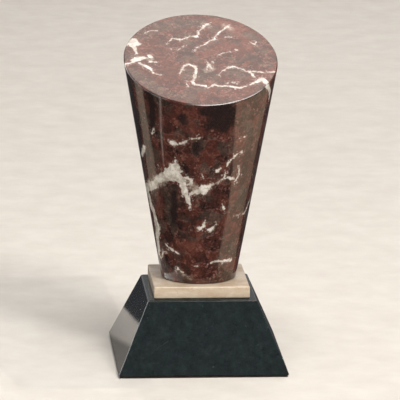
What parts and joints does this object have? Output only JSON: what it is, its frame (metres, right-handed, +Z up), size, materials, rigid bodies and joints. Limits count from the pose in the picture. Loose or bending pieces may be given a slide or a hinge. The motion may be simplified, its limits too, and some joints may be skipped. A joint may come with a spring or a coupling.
{
  "type": "column trophy",
  "caption": "Stone award trophy: a flared column with an oblique polished top, on a square plate and a cut-off pyramid base, clamped by a hidden threaded rod.",
  "frame": {"origin": "middle of the felt's underside, on the surface that the trophy stands on", "axes": "+Z up the column's axis; -Y is the front, the side that the oblique top slopes down towards; +X is to the right seen from the front"},
  "size_m": [0.1294, 0.1294, 0.2561],
  "materials": {
    "red_marble": "polished dark red marble with white and grey veins",
    "cream_marble": "polished cream marble, faintly clouded",
    "black_marble": "polished black marble with a fine grey fleck",
    "felt": "pressed felt",
    "stone_adhesive": "cured epoxy resin",
    "brass": "turned",
    "zinc_plated_steel": "bright zinc plate",
    "washer_rubber": "moulded, dull"
  },
  "bodies": {
    "root": {"felt_pad": "felt", "base_block": "black_marble", "plate_bond": "stone_adhesive", "plinth_plate": "cream_marble", "column_bond": "stone_adhesive", "column": "red_marble", "insert_resin": "stone_adhesive", "column_insert": "brass", "tie_rod": "zinc_plated_steel", "rod_nut": "zinc_plated_steel", "spring_washer": "zinc_plated_steel", "flat_washer": "zinc_plated_steel", "cushion_washer": "washer_rubber"}
  },
  "joints": []
}
